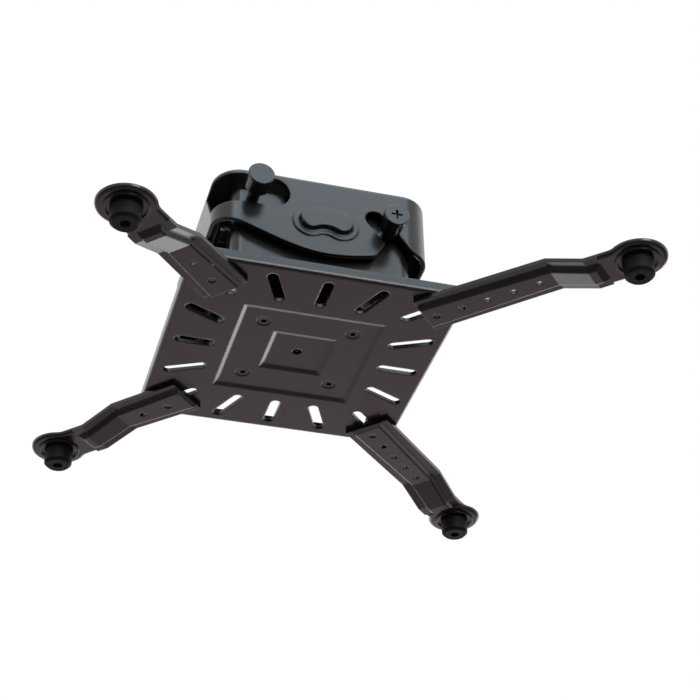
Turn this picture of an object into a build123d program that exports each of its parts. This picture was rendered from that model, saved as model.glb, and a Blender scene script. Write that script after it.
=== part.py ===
from build123d import *
from math import cos, radians, sin, sqrt
import os

# Projector ceiling mount. The origin is the middle of the face that meets the ceiling, +Z is up,
# the front, with the two roll screws, faces -Y, and a "drop" is a distance below the ceiling face.

# Ceiling housing: a deep-drawn tray that opens downwards
housing_width = 145.0
housing_depth = 148.0
housing_corner = 19.0
housing_wall = 3.0
housing_top_bend = 3.0
side_drop = 47.0
lag_spacing_x = 80.0
lag_spacing_y = 100.0
lag_hole = 7.0
cable_hole = 30.0

# Front wall of the housing: waved lower edge, with a tongue under the pivot
tongue_drop = 59.4
tongue_foot_inset = 10.2
tongue_foot_drop = 55.0
tongue_foot_slope = 0.25
tongue_corner = 6.0
tongue_tip_inset = 0.7
tongue_tip_drop = 38.8
wave_left_drop = 37.5
wave_left_slope = 0.4
wave_middle_x = -43.7
wave_middle_drop = 48.5
wave_end_x = -4.5
wave_back = 34.0

# Slot of the thumb screw, which runs round the left corner of the housing
hook_slot_drop = 4.5
hook_slot_height = 23.1
hook_slot_past = 23.3
hook_slot_back = 19.0

# Open slot of the roll screw, slanting down through the right of the front wall
open_slot_width = 13.4
open_slot_inset = 10.1
open_slot_drop = 25.0
open_slot_slant = 52.0
open_slot_flare = 7.0
notch_clearance = 1.0

# Kidney-shaped boss pressed out over each roll pivot
kidney_reach = 10.3
kidney_sag = 2.7
kidney_radius = 8.6
kidney_height = 5.0
kidney_draft = 18.0
kidney_edge = 0.8
kidney_step = 3.2
kidney_step_height = 1.2

# Roll pivots: a welded stud with a bush, a washer and a nut, at the front and at the rear
pivot_drop = 33.0
roll_limit = 6.0
stud_diameter = 10.0
stud_thread = 8.0
pivot_bush_flange = 22.0
pivot_bush_sleeve = 14.0
pivot_washer = 18.0
pivot_washer_thickness = 1.6
pivot_nut_width = 13.0
pivot_nut_height = 6.5

# Roll yoke: a round-cornered ring of sheet inside the housing
yoke_side_gap = 9.5
yoke_end_gap = 5.0
yoke_corner = 8.0
yoke_wall = 2.5
yoke_top_drop = 11.0
yoke_bottom_drop = 65.5
yoke_rear_drop = 50.0

# Roll screws: a plain thumb screw on the left and a cross-head screw on the right
thumb_inset = 25.5
thumb_drop = 17.6
thumb_rim = 17.4
thumb_rim_height = 1.4
thumb_knob = 16.4
thumb_knob_gap = 5.0
thumb_collar = 11.2
thumb_reach = 18.0
roll_screw_inset = 28.7
roll_screw_drop = 31.2
roll_screw_head = 17.0
roll_screw_head_height = 3.8
roll_screw_stem = 14.6
roll_screw_reach = 16.0
cross_length = 7.4
cross_width = 1.5
cross_depth = 2.2
screw_head_edge = 0.6
screw_neck = 8.0
screw_neck_out = 1.0
screw_thread = 6.0
clinch_nut = 9.6
clinch_nut_height = 5.0
screw_past_nut = 1.5

# Tilt bracket: a U of sheet on the plate, whose ears hang in the yoke
tilt_gap = 3.0
tilt_sheet = 2.5
tilt_bend = 4.0
tilt_web_depth = 84.0
tilt_window_margin = 2.76
tilt_window_corner = 5.0
tilt_limit = 15.0
ear_foot = 10.0
ear_pivot_radius = 15.0
ear_lock_radius = 8.0
lock_reach = 43.0
tilt_bolt = 8.0
tilt_bolt_head = 14.0
tilt_bolt_head_height = 3.5
tilt_nut_width = 13.0
tilt_nut_height = 6.0
tilt_washer = 22.0
lock_bolt = 6.0
lock_bolt_head = 11.0
lock_bolt_head_height = 3.2
lock_washer = 13.0
lock_washer_thickness = 1.0
lock_spacer = 14.0
lock_nut_width = 10.0
lock_nut_height = 5.0
bolt_past_nut = 1.5

# Spider plate: a shallow pressed tray with turned-up edges and radial slots
plate_size = 180.0
plate_sheet = 3.0
plate_drop = 90.0
plate_flange = 8.0
plate_bend = 2.4
plate_corner = 5.0
slot_count = 16
slot_margin = 7.4
slot_share = 0.1495
slot_width = 7.0
# Degrees by which the slots beside a corner slot lean towards it
slot_crowd = 2.0
outer_emboss_margin = 8.7
inner_emboss_margin = 25.75
emboss_height = 1.6
emboss_slope = 3.0
centre_hole = 6.0
plate_screw_margin = 17.0
plate_screw = 5.0
plate_screw_head = 9.6
plate_screw_sunk = 0.5
plate_socket_width = 3.4
plate_socket_depth = 2.0
plate_nut_width = 8.0
plate_nut_height = 4.0

# Arms: pressed hat sections that narrow outwards and step down to a round end
arm_width = 33.0
arm_neck = 30.0
arm_sheet = 3.0
arm_edge = 2.6
rib_face = 20.0
rib_face_end = 13.5
rib_wall_run = 1.8
rib_depth = 3.0
rib_bend = 1.6
rib_start_run = 1.2
rib_end_run = 4.0
arm_hole = 4.6
arm_step = 9.0
slope_run = 24.0
end_disc = 37.6
neck_round = 9.0
end_ring = 28.0
end_ring_bore = 24.5
end_ring_height = 1.2
short_holes = 2
short_pitch = 20.5
short_inner_end = 15.5
short_lead = 16.0
short_rib_tail = 8.0
short_tail = 22.5
long_holes = 5
long_pitch = 17.8
long_inner_end = 8.5
long_lead = 10.0
long_rib_tail = 9.0
long_tail = 21.0
close_pitch = 16.5
close_lead = 8.0
close_rib_tail = 10.0
close_tail = 18.0

# Where the arms are clamped: direction of the corner slot, inset from its outer end, and swing
front_left_corner = 225.0
front_right_corner = 315.0
back_left_corner = 135.0
back_right_corner = 45.0
front_left_inset = 12.4
front_right_inset = 13.2
back_left_inset = 14.6
back_right_inset = 12.6
front_left_swing = -0.4
front_right_swing = 1.6
back_left_swing = 0.0
back_right_swing = -0.5

# Clamp bolts that hold the arms through the corner slots
clamp_bolt = 5.0
clamp_head = 9.5
clamp_head_height = 3.6
clamp_washer = 12.0
clamp_washer_thickness = 1.2
clamp_recess = 0.6

# Feet: rubber spacers on flanged sleeves that take the projector's screws
foot_top = 19.8
foot_bottom = 19.0
foot_height = 12.4
foot_edge = 1.8
foot_hole = 6.4
foot_hole_depth = 5.0
sleeve_flange = 16.0
sleeve_flange_height = 1.8
sleeve_tube = 9.0
projector_hole = 5.5

# Clearances, each on the radius
running_clearance = 0.05
fixed_clearance = 0.02
slot_clearance = 0.4

# Places that follow from the sizes above
pivot_z = -pivot_drop
plate_underside = -plate_drop
plate_top = plate_underside + plate_sheet
web_underside = plate_top + emboss_height
web_top = web_underside + tilt_sheet
housing_inner_x = housing_width / 2 - housing_wall
housing_inner_y = housing_depth / 2 - housing_wall
pocket_floor_y = housing_inner_y + kidney_height
thumb_x = thumb_inset - housing_width / 2
roll_screw_x = housing_width / 2 - roll_screw_inset
yoke_outer_y = housing_inner_y - yoke_end_gap
yoke_inner_y = yoke_outer_y - yoke_wall
yoke_outer_x = housing_inner_x - yoke_side_gap
yoke_inner_x = yoke_outer_x - yoke_wall
ear_outer_x = yoke_inner_x - tilt_gap
ear_inner_x = ear_outer_x - tilt_sheet
clinch_y = yoke_inner_y - clinch_nut_height
slot_outer = plate_size / 2 - slot_margin
slot_inner = slot_outer - slot_share * plate_size
outer_emboss = 2 * (slot_inner - outer_emboss_margin)
inner_emboss = outer_emboss - 2 * inner_emboss_margin
plate_screw_spacing = outer_emboss - 2 * plate_screw_margin
tilt_window = inner_emboss + 2 * tilt_window_margin
beyond = 10.0

os.makedirs("parts", exist_ok=True)


def save(piece, label):
    """Name a finished piece and write it out."""
    piece.part.label = label
    export_step(piece.part, f"parts/{label}.step")


def wall_plane(side, y):
    """Upright plane that faces outwards at the front (side -1) or the rear (side 1), local y up."""
    return Plane(origin=(0, side * y, 0), x_dir=(-side, 0, 0), z_dir=(0, side, 0))


def along_y(x, z):
    """Plane whose local x runs towards the front, for turning pieces about a front-to-back axis."""
    return Plane(origin=(x, 0, z), x_dir=(0, -1, 0), z_dir=(-1, 0, 0))


def along_x(y, z):
    """Plane whose local x runs to the right, for turning pieces about a cross axis."""
    return Plane(origin=(0, y, z), x_dir=(1, 0, 0), z_dir=(0, -1, 0))


def upright(plane):
    """Plane whose local x runs up the given plane's normal, for turning pieces about that normal."""
    return Plane(origin=plane.origin, x_dir=plane.z_dir, z_dir=plane.y_dir)


def turn(plane, *profile):
    """Turned piece: a closed profile of (distance along the axis, radius), about the plane's x axis."""
    with BuildPart() as piece:
        with BuildSketch(plane):
            with BuildLine():
                Polyline(*profile, close=True)
            make_face()
        revolve(axis=Axis(plane.origin, plane.x_dir))
    return piece


def ring(plane, start, end, bore, outer):
    """Washer or round nut from start to end along the plane's x axis, with its diameters."""
    return turn(plane, (start, bore / 2), (end, bore / 2), (end, outer / 2), (start, outer / 2))


def nut(plane, bore, width, height):
    """Hexagon nut that stands on a plane, with its width across flats."""
    with BuildPart() as piece:
        with BuildSketch(plane):
            RegularPolygon(width / 2, 6, major_radius=False)
            Circle(bore / 2, mode=Mode.SUBTRACT)
        extrude(amount=height)
    return piece


def group(*pieces):
    """Like fasteners as one group of separate solids."""
    with BuildPart() as together:
        for piece in pieces:
            add(piece.part)
    return together


def kidney(plane, growth):
    """Outline of the boss over a roll pivot: a slot along a shallow arc, grown by growth."""
    low = pivot_z - kidney_sag
    spine = ThreePointArc((-kidney_reach, low), (0, pivot_z), (kidney_reach, low), mode=Mode.PRIVATE)
    with BuildSketch(plane) as outline:
        SlotArc(spine, 2 * (kidney_radius + growth))
    return outline.sketch


# Ceiling housing: tray, waved front edge, two screw slots, kidney bosses and ceiling holes
tray_drop = tongue_drop + beyond
left_x = -housing_width / 2 - beyond
right_x = housing_width / 2 + beyond
hook_left_x = left_x - hook_slot_height
hook_right_x = thumb_x + hook_slot_past
hook_middle_z = -hook_slot_drop - hook_slot_height / 2
slot_start = Vector(roll_screw_x - open_slot_inset, -open_slot_drop)
slot_run = Vector(cos(radians(open_slot_slant)), -sin(radians(open_slot_slant)))
slot_length = (tray_drop - open_slot_drop) / sin(radians(open_slot_slant))
slot_middle = slot_start + slot_run * (slot_length / 2)
slot_side = slot_start + slot_run.rotate(Axis.Z, 90) * (open_slot_width / 2)
slot_mouth = slot_side + slot_run * ((slot_side.Y + side_drop) / -slot_run.Y)
tongue_foot = (roll_screw_x - tongue_foot_inset, -tongue_foot_drop)
tongue_tip = (roll_screw_x - tongue_tip_inset, -tongue_tip_drop)
wall_foot = (roll_screw_x + tongue_foot_inset, -side_drop)
notch_width = screw_neck + 2 * notch_clearance
notch_height = notch_width + 2 * roll_screw_x * sin(radians(roll_limit))
with BuildPart() as housing:
    with BuildSketch():
        RectangleRounded(housing_width, housing_depth, housing_corner)
    extrude(amount=-tray_drop)
    fillet(housing.faces().sort_by(Axis.Z)[-1].edges(), housing_top_bend)
    for side in (-1, 1):
        boss_plane = wall_plane(side, housing_depth / 2)
        extrude(kidney(boss_plane, kidney_step), amount=kidney_step_height)
        extrude(kidney(boss_plane, 0), amount=kidney_height, taper=kidney_draft)
    fillet(housing.faces().sort_by(Axis.Y)[0].edges(), kidney_edge)
    fillet(housing.faces().sort_by(Axis.Y)[-1].edges(), kidney_edge)
    with BuildSketch(Plane.XY.offset(-housing_wall)):
        RectangleRounded(2 * housing_inner_x, 2 * housing_inner_y, housing_corner - housing_wall)
    extrude(amount=-tray_drop, mode=Mode.SUBTRACT)
    for side in (-1, 1):
        pocket_plane = wall_plane(side, housing_inner_y)
        extrude(kidney(pocket_plane, -housing_wall), amount=kidney_height, mode=Mode.SUBTRACT)
    with BuildSketch(Plane.XY.offset(-side_drop)):
        with Locations((0, -housing_depth / 2 + wave_back)):
            Rectangle(2 * right_x, housing_depth, align=(Align.CENTER, Align.MIN))
    extrude(amount=-tray_drop, mode=Mode.SUBTRACT)
    with BuildSketch(wall_plane(-1, housing_depth / 2)) as wave:
        with BuildLine():
            wave_start = (-housing_width / 2, -wave_left_drop)
            wave_middle = (wave_middle_x, -wave_middle_drop)
            wave_low = (wave_end_x, -tongue_drop)
            ends = [(1, -wave_left_slope), (1, tongue_foot_slope)]
            Polyline((left_x, -2 * tray_drop), (left_x, -wave_left_drop), wave_start)
            Spline(wave_start, wave_middle, wave_low, tongue_foot, tangents=ends)
            Polyline(tongue_foot, tongue_tip, wall_foot, (right_x, -side_drop))
            Polyline((right_x, -side_drop), (right_x, -2 * tray_drop), (left_x, -2 * tray_drop))
        make_face()
        fillet(wave.vertices().sort_by_distance(tongue_foot)[0], tongue_corner)
        with Locations((slot_middle.X, slot_middle.Y)):
            SlotCenterToCenter(slot_length, open_slot_width, rotation=-open_slot_slant)
        fillet(wave.vertices().sort_by_distance(slot_mouth)[0], open_slot_flare)
        with Locations((roll_screw_x, -roll_screw_drop)):
            SlotOverall(notch_height, notch_width, rotation=90)
    extrude(amount=-wave_back, mode=Mode.SUBTRACT)
    with BuildSketch(wall_plane(-1, housing_depth / 2)):
        with Locations(((hook_right_x + hook_left_x) / 2, hook_middle_z)):
            SlotOverall(hook_right_x - hook_left_x, hook_slot_height)
    extrude(amount=-hook_slot_back, mode=Mode.SUBTRACT)
    with BuildSketch(Plane.YZ.offset(left_x)):
        hook_back_y = -housing_depth / 2 + hook_slot_back
        hook_top_z = -hook_slot_drop
        with BuildLine():
            wave_back_y = -housing_depth / 2 + wave_back
            Polyline(
                (hook_back_y, hook_top_z - hook_slot_height),
                (wave_back_y, hook_top_z),
                (hook_back_y, hook_top_z),
                close=True,
            )
        make_face()
    extrude(amount=beyond + 2 * housing_wall, mode=Mode.SUBTRACT)
    with GridLocations(lag_spacing_x, lag_spacing_y, 2, 2):
        Hole(lag_hole / 2, depth=housing_wall)
    Hole(cable_hole / 2, depth=housing_wall)
save(housing, "ceiling_housing")

# Roll pivots: studs in the kidney bosses, bushes in the yoke, washers and nuts inside it
pivot_axis = along_y(0, pivot_z)
washer_y = yoke_inner_y - pivot_washer_thickness
stud_end_y = washer_y - pivot_nut_height - bolt_past_nut
stud_bore = stud_diameter + 2 * running_clearance
sleeve_outer = pivot_bush_sleeve - 2 * fixed_clearance
for side, name in ((1, "front"), (-1, "rear")):
    stud = turn(
        pivot_axis,
        (side * pocket_floor_y, 0),
        (side * pocket_floor_y, stud_diameter / 2),
        (side * yoke_inner_y, stud_diameter / 2),
        (side * yoke_inner_y, stud_thread / 2),
        (side * stud_end_y, stud_thread / 2),
        (side * stud_end_y, 0),
    )
    save(stud, f"roll_pivot_stud_{name}")
    bush = turn(
        pivot_axis,
        (side * housing_inner_y, stud_bore / 2),
        (side * housing_inner_y, pivot_bush_flange / 2),
        (side * yoke_outer_y, pivot_bush_flange / 2),
        (side * yoke_outer_y, sleeve_outer / 2),
        (side * yoke_inner_y, sleeve_outer / 2),
        (side * yoke_inner_y, stud_bore / 2),
    )
    save(bush, f"roll_pivot_bush_{name}")
thread_bore = stud_thread + 2 * fixed_clearance
front_washer = ring(pivot_axis, yoke_inner_y, washer_y, thread_bore, pivot_washer)
rear_washer = ring(pivot_axis, -yoke_inner_y, -washer_y, thread_bore, pivot_washer)
save(group(front_washer, rear_washer), "roll_pivot_washers")
front_nut_plane = Plane(origin=(0, -washer_y, pivot_z), x_dir=(1, 0, 0), z_dir=(0, 1, 0))
rear_nut_plane = Plane(origin=(0, washer_y, pivot_z), x_dir=(1, 0, 0), z_dir=(0, -1, 0))
front_nut = nut(front_nut_plane, thread_bore, pivot_nut_width, pivot_nut_height)
rear_nut = nut(rear_nut_plane, thread_bore, pivot_nut_width, pivot_nut_height)
save(group(front_nut, rear_nut), "roll_pivot_nuts")

# Roll yoke: ring of sheet with pivot holes, screw holes and the arc slots of the tilt locks
lock_arc = CenterArc((0, pivot_z), lock_reach, 180 - tilt_limit, 2 * tilt_limit)
with BuildPart() as yoke:
    with BuildSketch(Plane.XY.offset(-yoke_bottom_drop)):
        RectangleRounded(2 * yoke_outer_x, 2 * yoke_outer_y, yoke_corner)
        RectangleRounded(2 * yoke_inner_x, 2 * yoke_inner_y, yoke_corner - yoke_wall, mode=Mode.SUBTRACT)
    extrude(amount=yoke_bottom_drop - yoke_top_drop)
    with BuildSketch(Plane.XY.offset(-yoke_rear_drop)):
        with Locations((0, yoke_outer_y - yoke_corner)):
            Rectangle(housing_width, housing_depth, align=(Align.CENTER, Align.MIN))
    extrude(amount=-yoke_bottom_drop, mode=Mode.SUBTRACT)
    with BuildSketch(Plane.XZ):
        with Locations((0, pivot_z)):
            Circle(pivot_bush_sleeve / 2)
    extrude(amount=housing_depth, both=True, mode=Mode.SUBTRACT)
    with BuildSketch(wall_plane(-1, yoke_outer_y)):
        with Locations((thumb_x, -thumb_drop), (roll_screw_x, -roll_screw_drop)):
            Circle(screw_thread / 2 + running_clearance)
    extrude(amount=-2 * yoke_wall, mode=Mode.SUBTRACT)
    with BuildSketch(Plane.YZ):
        with Locations((0, pivot_z)):
            Circle(tilt_bolt / 2 + running_clearance)
        SlotArc(lock_arc, lock_bolt + 2 * slot_clearance)
    extrude(amount=housing_width, both=True, mode=Mode.SUBTRACT)
save(yoke, "roll_yoke")

# Roll screws: head, stem, neck through the housing's slot and thread into the yoke
thumb_axis = along_y(thumb_x, -thumb_drop)
thumb_face = housing_depth / 2 + thumb_reach
thumb_knob_end = housing_depth / 2 + thumb_knob_gap
neck_start = housing_depth / 2 + screw_neck_out
screw_tip = clinch_y - screw_past_nut
thumb = turn(
    thumb_axis,
    (thumb_face, 0),
    (thumb_face, thumb_rim / 2 - screw_head_edge),
    (thumb_face - screw_head_edge, thumb_rim / 2),
    (thumb_face - thumb_rim_height, thumb_rim / 2),
    (thumb_face - thumb_rim_height, thumb_knob / 2),
    (thumb_knob_end, thumb_knob / 2),
    (thumb_knob_end, thumb_collar / 2),
    (neck_start, thumb_collar / 2),
    (neck_start, screw_neck / 2),
    (yoke_outer_y, screw_neck / 2),
    (yoke_outer_y, screw_thread / 2),
    (screw_tip, screw_thread / 2),
    (screw_tip, 0),
)
save(thumb, "thumb_screw")
roll_screw_axis = along_y(roll_screw_x, -roll_screw_drop)
roll_screw_face = housing_depth / 2 + roll_screw_reach
blank = turn(
    roll_screw_axis,
    (roll_screw_face, 0),
    (roll_screw_face, roll_screw_head / 2 - screw_head_edge),
    (roll_screw_face - screw_head_edge, roll_screw_head / 2),
    (roll_screw_face - roll_screw_head_height, roll_screw_head / 2),
    (roll_screw_face - roll_screw_head_height, roll_screw_stem / 2),
    (neck_start, roll_screw_stem / 2),
    (neck_start, screw_neck / 2),
    (yoke_outer_y, screw_neck / 2),
    (yoke_outer_y, screw_thread / 2),
    (screw_tip, screw_thread / 2),
    (screw_tip, 0),
)
with BuildPart() as roll_screw:
    add(blank.part)
    with BuildSketch(wall_plane(-1, roll_screw_face)):
        with Locations((roll_screw_x, -roll_screw_drop)):
            Rectangle(cross_length, cross_width)
            Rectangle(cross_width, cross_length)
    extrude(amount=-cross_depth, mode=Mode.SUBTRACT)
save(roll_screw, "roll_lock_screw")
clinch_bore = screw_thread + 2 * running_clearance
thumb_nut = ring(thumb_axis, clinch_y, yoke_inner_y, clinch_bore, clinch_nut)
roll_nut = ring(roll_screw_axis, clinch_y, yoke_inner_y, clinch_bore, clinch_nut)
save(group(thumb_nut, roll_nut), "roll_clinch_nuts")

# Tilt bracket: web on the plate, two ears with the pivot and lock holes
with BuildPart() as bracket:
    with BuildSketch(Plane.XY.offset(web_underside)):
        Rectangle(2 * ear_outer_x, tilt_web_depth)
        RectangleRounded(tilt_window, tilt_window, tilt_window_corner, mode=Mode.SUBTRACT)
        with GridLocations(plate_screw_spacing, plate_screw_spacing, 2, 2):
            Circle(plate_screw / 2 + fixed_clearance, mode=Mode.SUBTRACT)
    extrude(amount=tilt_sheet)
    for ear_x in (-ear_outer_x, ear_inner_x):
        with BuildSketch(Plane.YZ.offset(ear_x)) as ear:
            with Locations((0, pivot_z)):
                Circle(ear_pivot_radius)
            with Locations((-lock_reach, pivot_z)):
                Circle(ear_lock_radius)
            with Locations((0, web_underside + ear_foot)):
                Rectangle(tilt_web_depth, tilt_sheet)
            make_hull()
            with Locations((0, web_underside)):
                Rectangle(tilt_web_depth, ear_foot, align=(Align.CENTER, Align.MIN))
            with Locations((0, pivot_z)):
                Circle(tilt_bolt / 2 + fixed_clearance, mode=Mode.SUBTRACT)
            with Locations((-lock_reach, pivot_z)):
                Circle(lock_bolt / 2 + fixed_clearance, mode=Mode.SUBTRACT)
        extrude(amount=tilt_sheet)
    bends = bracket.edges().filter_by(Axis.Y).group_by(Axis.Z)
    fillet(bends[0].filter_by(lambda edge: abs(edge.center().X) > ear_inner_x), tilt_bend)
save(bracket, "tilt_bracket")

# Tilt pivots and tilt locks, one of each on either side of the yoke
tilt_axis = along_x(0, pivot_z)
lock_axis = along_x(-lock_reach, pivot_z)
tilt_bolts = []
tilt_nuts = []
tilt_washers = []
lock_bolts = []
lock_nuts = []
lock_washers = []
lock_spacers = []
for side in (-1, 1):
    inward = Vector(-side, 0, 0)
    head_x = side * (yoke_outer_x + tilt_bolt_head_height)
    tip_x = side * (ear_inner_x - tilt_nut_height - bolt_past_nut)
    tilt_bolts.append(
        turn(
            tilt_axis,
            (head_x, 0),
            (head_x, tilt_bolt_head / 2),
            (side * yoke_outer_x, tilt_bolt_head / 2),
            (side * yoke_outer_x, tilt_bolt / 2),
            (tip_x, tilt_bolt / 2),
            (tip_x, 0),
        )
    )
    bolt_bore = tilt_bolt + 2 * fixed_clearance
    tilt_washers.append(ring(tilt_axis, side * ear_outer_x, side * yoke_inner_x, bolt_bore, tilt_washer))
    nut_plane = Plane(origin=(side * ear_inner_x, 0, pivot_z), x_dir=(0, 1, 0), z_dir=inward)
    tilt_nuts.append(nut(nut_plane, bolt_bore, tilt_nut_width, tilt_nut_height))
    under_head_x = side * (yoke_outer_x + lock_washer_thickness)
    head_x = under_head_x + side * lock_bolt_head_height
    tip_x = side * (ear_inner_x - lock_nut_height - bolt_past_nut)
    lock_bolts.append(
        turn(
            lock_axis,
            (head_x, 0),
            (head_x, lock_bolt_head / 2),
            (under_head_x, lock_bolt_head / 2),
            (under_head_x, lock_bolt / 2),
            (tip_x, lock_bolt / 2),
            (tip_x, 0),
        )
    )
    lock_bore = lock_bolt + 2 * fixed_clearance
    lock_washers.append(ring(lock_axis, side * yoke_outer_x, under_head_x, lock_bore, lock_washer))
    lock_spacers.append(ring(lock_axis, side * ear_outer_x, side * yoke_inner_x, lock_bore, lock_spacer))
    nut_plane = Plane(origin=(side * ear_inner_x, -lock_reach, pivot_z), x_dir=(0, 1, 0), z_dir=inward)
    lock_nuts.append(nut(nut_plane, lock_bore, lock_nut_width, lock_nut_height))
save(group(*tilt_bolts), "tilt_pivot_bolts")
save(group(*tilt_nuts), "tilt_pivot_nuts")
save(group(*tilt_washers), "tilt_friction_washers")
save(group(*lock_bolts), "tilt_lock_bolts")
save(group(*lock_nuts), "tilt_lock_nuts")
save(group(*lock_washers), "tilt_lock_washers")
save(group(*lock_spacers), "tilt_lock_spacers")

# Spider plate: tray, two-step emboss, radial slots and holes
sink_underside = plate_underside + emboss_height
screw_hole = plate_screw + 2 * fixed_clearance
sink_hole = plate_screw_head + 2 * fixed_clearance
with BuildPart() as plate:
    with BuildSketch(Plane.XY.offset(plate_underside)):
        RectangleRounded(plate_size, plate_size, plate_corner)
    extrude(amount=plate_flange)
    fillet(plate.faces().sort_by(Axis.Z)[0].edges(), plate_bend)
    with BuildSketch(Plane.XY.offset(plate_top)):
        inner_size = plate_size - 2 * plate_sheet
        RectangleRounded(inner_size, inner_size, plate_corner - plate_sheet)
    extrude(amount=plate_flange, mode=Mode.SUBTRACT)
    emboss_levels = ((outer_emboss, 0), (inner_emboss, emboss_height))
    for width, level in emboss_levels:
        with BuildSketch(Plane.XY.offset(plate_top + level)):
            Rectangle(width, width)
        with BuildSketch(Plane.XY.offset(plate_top + level + emboss_height)):
            Rectangle(width - 2 * emboss_slope, width - 2 * emboss_slope)
        loft()
    for width, level in emboss_levels:
        with BuildSketch(Plane.XY.offset(plate_underside + level)):
            Rectangle(width, width)
        with BuildSketch(Plane.XY.offset(plate_underside + level + emboss_height)):
            Rectangle(width - 2 * emboss_slope, width - 2 * emboss_slope)
        loft(mode=Mode.SUBTRACT)
    with BuildSketch(Plane.XY.offset(plate_underside)):
        for index in range(slot_count):
            crowd = slot_crowd * round(sin(radians(4 * 360 * index / slot_count)))
            angle = 360 * index / slot_count + crowd
            stretch = 1 / max(abs(cos(radians(angle))), abs(sin(radians(angle))))
            middle = (slot_inner + slot_outer) / 2 * stretch
            with Locations((middle * cos(radians(angle)), middle * sin(radians(angle)))):
                SlotOverall((slot_outer - slot_inner) * stretch, slot_width, rotation=angle)
        Circle(centre_hole / 2)
    extrude(amount=plate_flange, mode=Mode.SUBTRACT)
    with Locations(Plane(origin=(0, 0, sink_underside), x_dir=(1, 0, 0), z_dir=(0, 0, -1))):
        with GridLocations(plate_screw_spacing, plate_screw_spacing, 2, 2):
            CounterSinkHole(screw_hole / 2, sink_hole / 2, depth=plate_flange)
save(plate, "spider_plate")

# Countersunk screws and nuts that hold the tilt bracket on the plate
plate_screws = []
plate_nuts = []
sink_depth = (plate_screw_head - plate_screw) / 2
for place in GridLocations(plate_screw_spacing, plate_screw_spacing, 2, 2):
    foot = Plane(origin=(place.position.X, place.position.Y, sink_underside))
    top = web_top - sink_underside + plate_nut_height + bolt_past_nut
    blank = turn(
        upright(foot),
        (plate_screw_sunk, 0),
        (plate_screw_sunk, plate_screw_head / 2 - plate_screw_sunk),
        (sink_depth, plate_screw / 2),
        (top, plate_screw / 2),
        (top, 0),
    )
    with BuildPart() as screw:
        add(blank.part)
        with BuildSketch(foot.offset(plate_screw_sunk)):
            RegularPolygon(plate_socket_width / 2, 6, major_radius=False)
        extrude(amount=plate_socket_depth, mode=Mode.SUBTRACT)
    plate_screws.append(screw)
    seat = foot.offset(web_top - sink_underside)
    plate_nuts.append(nut(seat, screw_hole, plate_nut_width, plate_nut_height))
save(group(*plate_screws), "plate_screws")
save(group(*plate_nuts), "plate_nuts")


def arm_plane(angle, inset, swing):
    """Plane of an arm on the plate's underside: origin at its clamp bolt, local x outwards."""
    reach = slot_outer * sqrt(2) - inset
    across = Vector(cos(radians(angle)), sin(radians(angle)), 0)
    outward = Vector(1, 0, 0).rotate(Axis.Z, angle + swing)
    return Plane(origin=across * reach + Vector(0, 0, plate_underside), x_dir=outward, z_dir=(0, 0, 1))


def hat_section(place, width, face):
    """Section across an arm: two flanges with a rib pressed down between them, all bends rounded."""
    base = face / 2 + rib_wall_run
    with BuildSketch(place) as hat:
        with BuildLine():
            Polyline(
                (-width / 2, 0),
                (width / 2, 0),
                (width / 2, -arm_sheet),
                (base, -arm_sheet),
                (face / 2, -arm_sheet - rib_depth),
                (-face / 2, -arm_sheet - rib_depth),
                (-base, -arm_sheet),
                (-width / 2, -arm_sheet),
                close=True,
            )
        make_face()
        lower_corners = hat.vertices().group_by(Axis.Y)
        fillet(lower_corners[0], rib_bend)
        fillet(lower_corners[1].sort_by(Axis.X)[1:-1], rib_bend)
        fillet(lower_corners[1].sort_by(Axis.X)[::3], arm_edge)
    return hat.sketch


def hollow_section(place, face):
    """Section of the hollow that the pressed rib leaves in the top of an arm."""
    top = face / 2 + rib_wall_run - arm_sheet
    with BuildSketch(place) as hollow:
        with BuildLine():
            bottom = top - rib_wall_run
            Polyline((-top, 0), (-bottom, -rib_depth), (bottom, -rib_depth), (top, 0), close=True)
        make_face()
    return hollow.sketch


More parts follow.
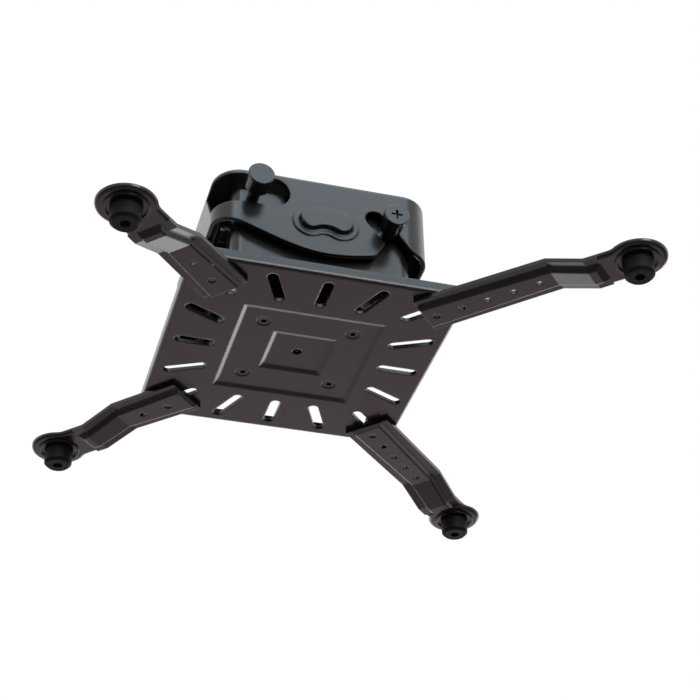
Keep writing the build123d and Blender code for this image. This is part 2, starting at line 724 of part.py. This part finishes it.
def build_arm(base, hole_places, inner_end, slope_start, rib_end, disc_x):
    """One arm: tapered hat section with a drop, closed rib ends and a round end with a ring."""
    side_view = Plane(origin=base.origin, x_dir=base.x_dir, z_dir=-base.y_dir)
    slope_end = slope_start + slope_run
    rib_start = -inner_end
    outer_place = base.from_local_coords((rib_end, 0, -arm_step))
    end_plane = base.offset(-arm_step)
    rib_top = -arm_sheet
    rib_low = rib_top - rib_depth - arm_edge
    start_slope = (rib_top - rib_low) * rib_start_run / rib_depth
    end_slope = (rib_top - rib_low) * rib_end_run / rib_depth
    hats = []
    hollows = []
    for along, drop in ((rib_start, 0), (slope_start, 0), (slope_end, arm_step), (rib_end, arm_step)):
        share = (along - rib_start) / (rib_end - rib_start)
        width = arm_width + (arm_neck - arm_width) * share
        face = rib_face + (rib_face_end - rib_face) * share
        centre = base.from_local_coords((along, 0, -drop))
        hats.append(hat_section(Plane(origin=centre, x_dir=base.y_dir, z_dir=base.x_dir), width, face))
        inside = min(max(along, rib_start + arm_sheet), rib_end - arm_sheet)
        centre = base.from_local_coords((inside, 0, -drop))
        hollows.append(hollow_section(Plane(origin=centre, x_dir=base.y_dir, z_dir=base.x_dir), face))
    with BuildPart() as arm:
        with BuildSketch(end_plane) as end:
            with Locations((disc_x, 0)):
                Circle(end_disc / 2)
            with Locations((rib_end, 0)):
                Rectangle(disc_x - rib_end, arm_neck, align=(Align.MIN, Align.CENTER))
            fillet(end.vertices().group_by(Axis.X)[-1], neck_round)
        extrude(amount=-arm_sheet)
        lower_edges = arm.faces().sort_by(Axis.Z)[0].edges()
        fillet(lower_edges.sort_by_distance(outer_place)[1:], arm_edge)
        loft(hats, ruled=True)
        loft(hollows, ruled=True, mode=Mode.SUBTRACT)
        with BuildSketch(side_view):
            with BuildLine():
                slope_foot = (rib_start + start_slope, rib_low)
                Polyline((rib_start, rib_top), slope_foot, (rib_start, rib_low), close=True)
            make_face()
            with BuildLine():
                slope_foot = (rib_end - end_slope, rib_low - arm_step)
                rib_corner = (rib_end, rib_low - arm_step)
                Polyline((rib_end, rib_top - arm_step), slope_foot, rib_corner, close=True)
            make_face()
        extrude(amount=arm_width, both=True, mode=Mode.SUBTRACT)
        with BuildSketch(end_plane.offset(-arm_sheet)):
            with Locations((disc_x, 0)):
                Circle(end_ring / 2)
                Circle(end_ring_bore / 2, mode=Mode.SUBTRACT)
        extrude(amount=-end_ring_height)
        with BuildSketch(base):
            Circle(clamp_bolt / 2 + running_clearance)
            with Locations(*[(place, 0) for place in hole_places]):
                Circle(arm_hole / 2)
            with Locations((disc_x, 0)):
                Circle(sleeve_tube / 2 + fixed_clearance)
        extrude(amount=-2 * plate_drop, mode=Mode.SUBTRACT)
    return arm


def build_foot(end):
    """Rubber foot below the round end of an arm, whose upper face is the plane end."""
    seat = -arm_sheet
    bottom = seat - foot_height
    return turn(
        upright(end),
        (seat, sleeve_tube / 2 + fixed_clearance),
        (seat, foot_top / 2),
        (bottom + foot_edge, foot_bottom / 2),
        (bottom, foot_bottom / 2 - foot_edge),
        (bottom, foot_hole / 2),
        (bottom + foot_hole_depth, foot_hole / 2),
        (bottom + foot_hole_depth, sleeve_tube / 2 + fixed_clearance),
    )


def build_sleeve(end):
    """Flanged sleeve through the round end and the foot, bored for the projector's screw."""
    bottom = -arm_sheet - foot_height + foot_hole_depth
    return turn(
        upright(end),
        (sleeve_flange_height, projector_hole / 2),
        (sleeve_flange_height, sleeve_flange / 2),
        (0, sleeve_flange / 2),
        (0, sleeve_tube / 2),
        (bottom, sleeve_tube / 2),
        (bottom, projector_hole / 2),
    )


def build_clamp_bolt(base):
    """Bolt from above the plate, through the corner slot into the arm's first hole."""
    seat = plate_sheet + clamp_washer_thickness
    tip = clamp_recess - arm_sheet - rib_depth
    return turn(
        upright(base),
        (seat + clamp_head_height, 0),
        (seat + clamp_head_height, clamp_head / 2),
        (seat, clamp_head / 2),
        (seat, clamp_bolt / 2),
        (tip, clamp_bolt / 2),
        (tip, 0),
    )


def save_arm(name, base, holes, pitch, inner_end, lead, rib_tail, tail):
    """One arm with its clamp bolt and washer, its foot and its sleeve."""
    hole_places = [pitch * index for index in range(1, holes)]
    slope_start = hole_places[-1] + lead
    rib_end = slope_start + slope_run + rib_tail
    disc_x = rib_end + tail
    end_place = base.from_local_coords((disc_x, 0, -arm_step))
    end = Plane(origin=end_place, x_dir=base.x_dir, z_dir=(0, 0, 1))
    washer_top = plate_sheet + clamp_washer_thickness
    washer_bore = clamp_bolt + 2 * fixed_clearance
    save(build_arm(base, hole_places, inner_end, slope_start, rib_end, disc_x), f"arm_{name}")
    save(build_clamp_bolt(base), f"clamp_bolt_{name}")
    save(ring(upright(base), plate_sheet, washer_top, washer_bore, clamp_washer), f"clamp_washer_{name}")
    save(build_foot(end), f"foot_{name}")
    save(build_sleeve(end), f"foot_sleeve_{name}")


# Arms on the four corners of the plate: two short ones on the left, two long ones on the right
short_sizes = (short_holes, short_pitch, short_inner_end, short_lead, short_rib_tail, short_tail)
long_sizes = (long_holes, long_pitch, long_inner_end, long_lead, long_rib_tail, long_tail)
close_sizes = (long_holes, close_pitch, long_inner_end, close_lead, close_rib_tail, close_tail)
front_left_base = arm_plane(front_left_corner, front_left_inset, front_left_swing)
save_arm("front_left", front_left_base, *short_sizes)
front_right_base = arm_plane(front_right_corner, front_right_inset, front_right_swing)
save_arm("front_right", front_right_base, *long_sizes)
back_left_base = arm_plane(back_left_corner, back_left_inset, back_left_swing)
save_arm("back_left", back_left_base, *short_sizes)
back_right_base = arm_plane(back_right_corner, back_right_inset, back_right_swing)
save_arm("back_right", back_right_base, *close_sizes)
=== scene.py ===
from math import cos, pi, radians, sin

import bpy
from mathutils import Matrix, Vector


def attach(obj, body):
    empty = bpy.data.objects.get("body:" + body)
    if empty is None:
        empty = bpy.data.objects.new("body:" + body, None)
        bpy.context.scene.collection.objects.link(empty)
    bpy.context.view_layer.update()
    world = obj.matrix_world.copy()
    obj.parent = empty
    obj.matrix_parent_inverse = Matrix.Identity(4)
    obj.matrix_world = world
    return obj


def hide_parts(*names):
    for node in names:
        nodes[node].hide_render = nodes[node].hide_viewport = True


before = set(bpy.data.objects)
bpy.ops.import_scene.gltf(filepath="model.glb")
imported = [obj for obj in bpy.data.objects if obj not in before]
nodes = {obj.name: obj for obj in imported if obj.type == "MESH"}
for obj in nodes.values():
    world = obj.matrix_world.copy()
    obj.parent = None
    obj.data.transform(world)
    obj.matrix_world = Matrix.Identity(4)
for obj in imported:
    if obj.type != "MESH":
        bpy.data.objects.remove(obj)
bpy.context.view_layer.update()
scene = bpy.context.scene


# Ceiling housing: a steel tray, drawn in one piece, pierced and trimmed to a wave along its lower edge.
# It is lag-screwed to the ceiling and finished in a satin powder coat of near-black grey, with a fine
# orange peel. Drawing leaves its edges round, and the coat softens them further.
class Shade:
    """A socket of a node tree. Sums, differences, products and quotients of them become Math nodes."""

    def __init__(self, tree, socket=None):
        self.tree = tree
        self.socket = socket

    def put(self, kind, settings=(), inputs=(), out=0):
        """Any node: its type, its settings, then the values or links of its sockets."""
        node = self.tree.nodes.new(kind)
        for name, value in dict(settings).items():
            setattr(node, name, value)
        for key, value in dict(inputs).items():
            if isinstance(value, Shade):
                self.tree.links.new(value.socket, node.inputs[key])
            else:
                node.inputs[key].default_value = value
        return Shade(self.tree, node.outputs[out])

    def maths(self, operation, first, second):
        return self.put("ShaderNodeMath", {"operation": operation}, {0: first, 1: second})

    def __add__(self, other):
        return self.maths("ADD", self, other)

    def __radd__(self, other):
        return self.maths("ADD", other, self)

    def __sub__(self, other):
        return self.maths("SUBTRACT", self, other)

    def __rsub__(self, other):
        return self.maths("SUBTRACT", other, self)

    def __mul__(self, other):
        return self.maths("MULTIPLY", self, other)

    def __rmul__(self, other):
        return self.maths("MULTIPLY", other, self)

    def __truediv__(self, other):
        return self.maths("DIVIDE", self, other)

    def __rtruediv__(self, other):
        return self.maths("DIVIDE", other, self)


def new_finish(name):
    """A new material: its Principled shader, a start for its nodes, and its Object coordinates."""
    material = bpy.data.materials.new(name)
    material.use_nodes = True
    start = Shade(material.node_tree)
    place = start.put("ShaderNodeTexCoord", {}, {}, "Object")
    return material, material.node_tree.nodes["Principled BSDF"], start, place


def noise(start, place, lumps, detail):
    """Soft noise from 0 to 1, with its lumps per metre."""
    sizes = {"Vector": place, "Scale": lumps, "Detail": detail, "Roughness": 0.55}
    return start.put("ShaderNodeTexNoise", {}, sizes)


def between(start, mask, dark, pale):
    """A colour between two others, by a mask."""
    return start.put("ShaderNodeMix", {"data_type": "RGBA"}, {0: mask, 6: (*dark, 1), 7: (*pale, 1)}, 2)


def feed(value, shader, name):
    """Link a value to a socket of the shader."""
    value.tree.links.new(value.socket, shader.inputs[name])


def powder_coat(name, dark, pale, gloss, edge, peel_depth):
    """Powder coat: a cloudy tone, an orange peel, and edges that the coat rounds off."""
    cloud_lumps, speck_lumps, peel_lumps = 30.0, 900.0, 1500.0
    cloud_share, cloud_dulling, speck_dulling, peel_height = 0.7, 0.08, 0.04, 0.0002
    material, shader, start, place = new_finish(name)
    cloud = noise(start, place, cloud_lumps, 3.0)
    speck = noise(start, place, speck_lumps, 1.0)
    tone = cloud * cloud_share + speck * (1 - cloud_share)
    feed(between(start, tone, dark, pale), shader, "Base Color")
    feed(gloss + cloud_dulling * cloud + speck_dulling * speck, shader, "Roughness")
    rounded = start.put("ShaderNodeBevel", {"samples": 4}, {"Radius": edge})
    peel = noise(start, place, peel_lumps, 2.0)
    relief = {"Strength": peel_depth, "Distance": peel_height, "Height": peel, "Normal": rounded}
    feed(start.put("ShaderNodeBump", {}, relief), shader, "Normal")
    return material


def dress(finish, *names):
    """Give CAD pieces a finish."""
    for name in names:
        nodes[name].material_slots[0].material = finish


coat_dark, coat_pale = (0.007, 0.006, 0.006), (0.011, 0.010, 0.010)
coat_gloss, coat_peel = 0.17, 0.08
drawn_edge = 0.0016
drawn_coat = powder_coat("drawn_coat", coat_dark, coat_pale, coat_gloss, drawn_edge, coat_peel)
dress(drawn_coat, "ceiling_housing")


# Roll pivots: a turned stud through the housing's front and rear wall, held by a hexagon nut on a
# washer. The studs and nuts are steel with a bright zinc plate, the washers are blackened steel.
def zinc_plate(name):
    """Zinc plate: a grey metal with a faint spangle."""
    dark, pale, spangle_lumps = (0.40, 0.41, 0.43), (0.60, 0.60, 0.60), 420.0
    gloss, spangle_dulling = 0.26, 0.18
    material, shader, start, place = new_finish(name)
    spangle = noise(start, place, spangle_lumps, 3.0)
    feed(between(start, spangle, dark, pale), shader, "Base Color")
    feed(gloss + spangle_dulling * spangle, shader, "Roughness")
    shader.inputs["Metallic"].default_value = 1.0
    return material


def blackened(name):
    """Blackened and oiled steel: a blue-black tone, blotched, with fine turning marks."""
    dark, pale, blotch_lumps = (0.012, 0.012, 0.013), (0.020, 0.020, 0.022), 260.0
    gloss, blotch_dulling, edge = 0.16, 0.12, 0.0004
    mark_lumps, mark_height, mark_depth = 2600.0, 0.0001, 0.06
    material, shader, start, place = new_finish(name)
    blotch = noise(start, place, blotch_lumps, 4.0)
    feed(between(start, blotch, dark, pale), shader, "Base Color")
    feed(gloss + blotch_dulling * blotch, shader, "Roughness")
    rounded = start.put("ShaderNodeBevel", {"samples": 4}, {"Radius": edge})
    marks = noise(start, place, mark_lumps, 1.0)
    relief = {"Strength": mark_depth, "Distance": mark_height, "Height": marks, "Normal": rounded}
    feed(start.put("ShaderNodeBump", {}, relief), shader, "Normal")
    return material


def nut_tree():
    """Hexagon nuts on points: a ring with cut edges, turned round its axis and pressed to six flats."""
    steps_round, steps_along, edge_cut = 72, 4, 0.07
    flat_turn, half_turn = radians(60), radians(30)
    tree = bpy.data.node_groups.new("hexagon_nuts", "GeometryNodeTree")
    tree.is_modifier = True
    tree.interface.new_socket("Places", in_out="INPUT", socket_type="NodeSocketGeometry")
    for name in ("Across Flats", "Height", "Bore Radius"):
        tree.interface.new_socket(name, in_out="INPUT", socket_type="NodeSocketFloat")
    tree.interface.new_socket("Finish", in_out="INPUT", socket_type="NodeSocketMaterial")
    tree.interface.new_socket("Nuts", in_out="OUTPUT", socket_type="NodeSocketGeometry")
    start = Shade(tree)
    flats = start.put("NodeGroupInput", {}, {}, "Across Flats")
    height = start.put("NodeGroupInput", {}, {}, "Height")
    bore = start.put("NodeGroupInput", {}, {}, "Bore Radius")
    corner_radius = flats / (2 * cos(half_turn))
    section = {"Width": corner_radius - bore, "Height": height}
    section = start.put("GeometryNodeCurvePrimitiveQuadrilateral", {}, section)
    cut = {"Curve": section, "Count": 1, "Radius": edge_cut * flats}
    section = start.put("GeometryNodeFilletCurve", {"mode": "POLY"}, cut)
    section = start.put("GeometryNodeSubdivideCurve", {}, {"Curve": section, "Cuts": steps_along})
    path = {"Resolution": steps_round, "Radius": (corner_radius + bore) * 0.5}
    path = start.put("GeometryNodeCurvePrimitiveCircle", {}, path)
    path = start.put("GeometryNodeSetCurveNormal", {"mode": "Z_UP"}, {"Curve": path})
    ring = start.put("GeometryNodeCurveToMesh", {}, {"Curve": path, "Profile Curve": section})
    point = start.put("GeometryNodeInputPosition")
    x = start.put("ShaderNodeSeparateXYZ", {}, {"Vector": point}, "X")
    y = start.put("ShaderNodeSeparateXYZ", {}, {"Vector": point}, "Y")
    z = start.put("ShaderNodeSeparateXYZ", {}, {"Vector": point}, "Z")
    radius = start.maths("SQRT", x * x + y * y, 0.0)
    turn_in_flat = start.maths("FLOORED_MODULO", start.maths("ARCTAN2", y, x), flat_turn)
    flat_reach = 0.5 * flats / start.maths("COSINE", turn_in_flat - half_turn, 0.0)
    press = start.maths("MINIMUM", flat_reach / radius, 1.0)
    pressed = start.put("ShaderNodeCombineXYZ", {}, {"X": x * press, "Y": y * press, "Z": z})
    nut = start.put("GeometryNodeSetPosition", {}, {"Geometry": ring, "Position": pressed})
    way = start.put("GeometryNodeInputNamedAttribute", {"data_type": "FLOAT_VECTOR"}, {"Name": "way"})
    corner = start.put("GeometryNodeInputNamedAttribute", {"data_type": "FLOAT_VECTOR"}, {"Name": "corner"})
    stood = start.put("FunctionNodeAlignRotationToVector", {"axis": "Z"}, {"Vector": way})
    turn = {"axis": "X", "pivot_axis": "Z"}
    turned = start.put("FunctionNodeAlignRotationToVector", turn, {"Rotation": stood, "Vector": corner})
    places = start.put("NodeGroupInput", {}, {}, "Places")
    nuts = {"Points": places, "Instance": nut, "Rotation": turned}
    nuts = start.put("GeometryNodeInstanceOnPoints", {}, nuts)
    nuts = start.put("GeometryNodeRealizeInstances", {}, {"Geometry": nuts})
    finish = start.put("NodeGroupInput", {}, {}, "Finish")
    nuts = start.put("GeometryNodeSetMaterial", {}, {"Geometry": nuts, "Material": finish})
    tree.links.new(nuts.socket, tree.nodes.new("NodeGroupOutput").inputs["Nuts"])
    return tree


def fit_nuts(name, node, body, way):
    """Nuts in the places and sizes of a CAD node's plain ones, which are alike. They screw along way."""
    way = Vector(way)
    nut_reach = 0.02
    found = []
    for vertex in nodes[node].data.vertices:
        near = [one for one in found if (one[0] - vertex.co).length < nut_reach]
        if near:
            near[0].append(vertex.co.copy())
        else:
            found.append([vertex.co.copy()])
    centres, corners = [], []
    for points in found:
        low = Vector([min(point[axis] for point in points) for axis in range(3)])
        high = Vector([max(point[axis] for point in points) for axis in range(3)])
        centre = (low + high) / 2
        spokes = [(point - centre) - way * (point - centre).dot(way) for point in points]
        centres.append(centre)
        corners.append(max(spokes, key=lambda spoke: spoke.length))
        bore = min(spoke.length for spoke in spokes)
        height = abs((high - low).dot(way))
    mesh = bpy.data.meshes.new(name)
    mesh.from_pydata(centres, [], [])
    for label, values in (("way", [way] * len(centres)), ("corner", corners)):
        stored = mesh.attributes.new(label, "FLOAT_VECTOR", "POINT")
        stored.data.foreach_set("vector", [number for value in values for number in value])
    nuts = bpy.data.objects.new(name, mesh)
    scene.collection.objects.link(nuts)
    flats = 2 * corners[0].length * cos(radians(30))
    sizes = {"Across Flats": flats, "Height": height, "Bore Radius": bore, "Finish": zinc}
    maker = nuts.modifiers.new("hexagon_nuts", "NODES")
    maker.node_group = hexagon_nuts
    for socket in hexagon_nuts.interface.items_tree:
        if socket.name in sizes:
            maker[socket.identifier] = sizes[socket.name]
    made = nuts.evaluated_get(bpy.context.evaluated_depsgraph_get())
    finished = bpy.data.meshes.new_from_object(made)
    nuts.modifiers.clear()
    nuts.data = finished
    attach(nuts, body)
    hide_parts(node)


zinc = zinc_plate("zinc_plate")
black_steel = blackened("black_steel")
hexagon_nuts = nut_tree()
dress(zinc, "roll_pivot_stud_front", "roll_pivot_stud_rear")
dress(black_steel, "roll_pivot_washers")
fit_nuts("roll_nuts", "roll_pivot_nuts", "housing", (0, 1, 0))


# Roll yoke: a ring folded from steel sheet, coated like the housing. It rolls on two black nylon
# bushes round the studs, and two zinc-plated clinch nuts are pressed into its front wall.
def moulded(name, dark, pale, rough, grain_lumps, shine):
    """Moulded nylon or rubber: nearly black, matt, with a fine grain and a dusty bloom."""
    bloom_lumps, bloom_dulling, grain_height, grain_depth = 160.0, 0.12, 0.0002, 0.15
    material, shader, start, place = new_finish(name)
    bloom = noise(start, place, bloom_lumps, 4.0)
    feed(between(start, bloom, dark, pale), shader, "Base Color")
    feed(rough + bloom_dulling * bloom, shader, "Roughness")
    grain = noise(start, place, grain_lumps, 2.0)
    relief = {"Strength": grain_depth, "Distance": grain_height, "Height": grain}
    feed(start.put("ShaderNodeBump", {}, relief), shader, "Normal")
    shader.inputs["Specular IOR Level"].default_value = shine
    return material


folded_edge = 0.0006
sheet_coat = powder_coat("sheet_coat", coat_dark, coat_pale, coat_gloss, folded_edge, coat_peel)
nylon = moulded("black_nylon", (0.020, 0.020, 0.021), (0.034, 0.034, 0.035), 0.45, 1400.0, 0.3)
dress(sheet_coat, "roll_yoke")
dress(nylon, "roll_pivot_bush_front", "roll_pivot_bush_rear")
dress(zinc, "roll_clinch_nuts")

# Front screws: a plain round-headed thumb screw on the left and a cross-head screw on the right. Both
# are steel, turned on a lathe, with the same dark coat, and go through the housing into the yoke.
screw_coat = powder_coat("screw_coat", (0.007, 0.007, 0.008), (0.011, 0.011, 0.012), 0.16, 0.0005, 0.05)
dress(screw_coat, "thumb_screw", "roll_lock_screw")

# Tilt bracket: a U folded from thick steel sheet and coated. Two bolts through its ears are the pivots,
# with nylon friction washers, and two more run in arc slots of the yoke and lock the tilt.
dress(sheet_coat, "tilt_bracket")
dress(black_steel, "tilt_pivot_bolts", "tilt_lock_bolts", "tilt_lock_washers")
dress(nylon, "tilt_friction_washers")
dress(zinc, "tilt_lock_spacers")
fit_nuts("tilt_nuts", "tilt_pivot_nuts", "plate", (1, 0, 0))
fit_nuts("lock_nuts", "tilt_lock_nuts", "plate", (1, 0, 0))

# Slotted plate: a square of steel sheet, pressed with a two-step emboss and turned-up edges, and pierced
# with sixteen slots. Pressing leaves its edges as round as the housing's. Four countersunk screws with
# nuts hold it to the tilt bracket.
dress(drawn_coat, "spider_plate")
dress(screw_coat, "plate_screws")
fit_nuts("bracket_nuts", "plate_nuts", "plate", (0, 0, 1))

# Clamp bolts: a blackened bolt and washer for each arm, dropped through a corner slot of the plate and
# screwed into a hole of the arm. Loosened, each slides along its slot.
corners = ("front_left", "front_right", "back_left", "back_right")
for corner in corners:
    dress(black_steel, "clamp_bolt_" + corner, "clamp_washer_" + corner)

# Arms: hat-section pressings of steel sheet with a drop and a round end, coated like the yoke. Each
# swings on its clamp bolt.
for corner in corners:
    dress(sheet_coat, "arm_" + corner)

# Feet: moulded black rubber under the round ends, each on a flanged steel sleeve with a zinc plate that
# takes the projector's screw.
rubber = moulded("foot_rubber", (0.005, 0.005, 0.005), (0.009, 0.009, 0.009), 0.50, 2200.0, 0.12)
for corner in corners:
    dress(rubber, "foot_" + corner)
    dress(zinc, "foot_sleeve_" + corner)

# Stage: a plain pale floor at the depth of a room below the mount, which hangs from a ceiling that
# isn't shown.
floor_drop, floor_radius = 2.8, 12.0
floor_colour, floor_roughness = (0.78, 0.70, 0.70, 1), 0.9
bpy.ops.mesh.primitive_circle_add(vertices=96, radius=floor_radius, fill_type="NGON")
floor = bpy.context.object
floor.name = "floor"
floor.data.transform(Matrix.Translation((0, 0, -floor_drop)))
floor_paint, floor_shader, _, _ = new_finish("floor_paint")
floor_shader.inputs["Base Color"].default_value = floor_colour
floor_shader.inputs["Roughness"].default_value = floor_roughness
floor.data.materials.append(floor_paint)

# Light: a large soft box above and in front with a small bright one below it, a weak one on the left of
# the front and one on the right, two level with the mount behind it, and a wide weak one low at the back.
middle = Vector((0.01, 0.0, -0.06))


def soft_box(name, towards, distance, size, glow, colour):
    """A soft box that shines on the mount, with the brightness of its face."""
    lamp = bpy.data.lights.new(name, "AREA")
    lamp.shape = "RECTANGLE"
    lamp.size, lamp.size_y = size
    lamp.energy = glow * pi * size[0] * size[1]
    lamp.color = colour
    box = bpy.data.objects.new(name, lamp)
    way = Vector(towards).normalized()
    turn = way.to_track_quat("Z", "Y").to_matrix().to_4x4()
    box.matrix_world = Matrix.Translation(middle + way * distance) @ turn
    box.visible_camera = False
    scene.collection.objects.link(box)


soft_box("key_box", (0.0, -0.53, 0.85), 2.2, (2.4, 1.8), 2.4, (0.69, 0.87, 1.0))
soft_box("front_strip", (0.235, -0.95, 0.17), 2.2, (0.8, 1.0), 10.0, (0.90, 0.95, 1.0))
soft_box("left_box", (-0.30, -0.76, 0.575), 2.2, (0.8, 0.9), 1.0, (0.70, 0.88, 1.0))
soft_box("right_box", (0.78, 0.20, 0.59), 2.2, (1.1, 1.1), 0.35, (1.0, 1.0, 1.0))
soft_box("level_box", (0.17, 0.975, -0.14), 2.2, (1.4, 1.0), 1.4, (0.90, 0.95, 1.0))
soft_box("side_box", (0.66, 0.74, -0.13), 2.2, (0.9, 0.9), 3.0, (0.98, 0.97, 1.0))
soft_box("low_box", (0.0, 0.76, -0.65), 2.0, (2.8, 1.6), 0.56, (1.0, 0.74, 0.82))

# World: white to the camera, in reflections and through glass, and a dim even light otherwise.
even_colour, even_strength = (1.0, 0.98, 0.96, 1), 0.12
white_colour, white_strength = (1, 1, 1, 1), 1.0
world = bpy.data.worlds.new("studio")
scene.world = world
world.use_nodes = True
sky = Shade(world.node_tree)
even = sky.put("ShaderNodeBackground", {}, {"Color": even_colour, "Strength": even_strength})
white = sky.put("ShaderNodeBackground", {}, {"Color": white_colour, "Strength": white_strength})
seen = sky.put("ShaderNodeLightPath", {}, {}, "Is Camera Ray")
mirrored = sky.put("ShaderNodeLightPath", {}, {}, "Is Glossy Ray")
through = sky.put("ShaderNodeLightPath", {}, {}, "Is Transmission Ray")
both = sky.put("ShaderNodeMixShader", {}, {0: seen + mirrored + through, 1: even, 2: white})
world.node_tree.links.new(both.socket, world.node_tree.nodes["World Output"].inputs["Surface"])

# Camera: below and in front of the mount, a little to the left, as the photograph was taken. Its place
# is given from the middle of the plate, with the picture's own right and up.
azimuth, elevation, roll = radians(-16.665), radians(-35.121), radians(-1.257)
distance, shift_right, shift_up = 1.215661, -0.035078, -0.003905
focal_pixels, frame_pixels, plate_depth = 1834.08, 700.0, 0.09
sensor_width = 36.0
back = Vector((sin(azimuth) * cos(elevation), -cos(azimuth) * cos(elevation), sin(elevation)))
right = (-back).cross(Vector((0, 0, 1))).normalized()
up = right.cross(-back)
rolled_right = right * cos(roll) + up * sin(roll)
rolled_up = up * cos(roll) - right * sin(roll)
place = back * distance - rolled_right * shift_right - rolled_up * shift_up - Vector((0, 0, plate_depth))
camera = bpy.data.objects.new("camera", bpy.data.cameras.new("camera"))
camera.data.sensor_width = sensor_width
camera.data.lens = focal_pixels / frame_pixels * sensor_width
aim = Matrix((rolled_right, rolled_up, back)).transposed().to_4x4()
camera.matrix_world = Matrix.Translation(place) @ aim
scene.collection.objects.link(camera)
scene.camera = camera
scene.view_settings.view_transform = "Standard"
